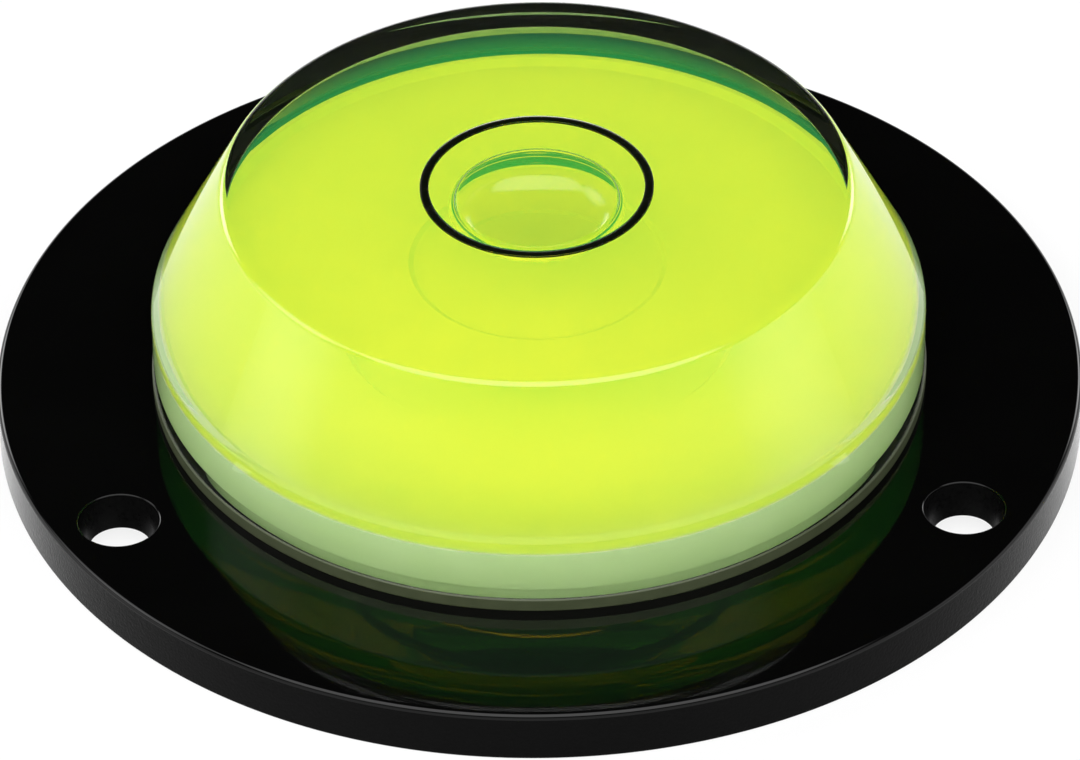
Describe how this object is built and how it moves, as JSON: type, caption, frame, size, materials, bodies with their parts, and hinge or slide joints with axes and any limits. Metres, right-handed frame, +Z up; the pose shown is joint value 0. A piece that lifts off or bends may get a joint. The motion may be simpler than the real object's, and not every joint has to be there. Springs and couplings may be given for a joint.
{
  "type": "mini spirit level",
  "caption": "Round bull's-eye spirit level: a clear vial of yellow-green fluid with a bubble and a black target ring, set in a flat round flange with screw holes.",
  "frame": {"origin": "middle of the flange's underside, on the surface it is fixed to", "axes": "+Z up along the vial's axis; the screw holes are at 90, 210 and 330 degrees from +X, so one lies on +Y"},
  "size_m": [0.04, 0.04, 0.0102],
  "materials": {
    "gloss_black_plastic": "mirror-gloss black top, satin side wall",
    "black_adhesive": "matt black adhesive pad",
    "white_plastic": "satin white moulding",
    "indicator_fluid": "clear fluorescent yellow-green fluid",
    "clear_acrylic": "polished clear moulding",
    "black_paint": "satin black paint in a groove"
  },
  "bodies": {
    "root": {"flange": "gloss_black_plastic", "bond_pad": "black_adhesive", "base_plug": "white_plastic", "indicator_fluid": "indicator_fluid", "vial_cap": "clear_acrylic", "target_ring": "black_paint"}
  },
  "joints": []
}
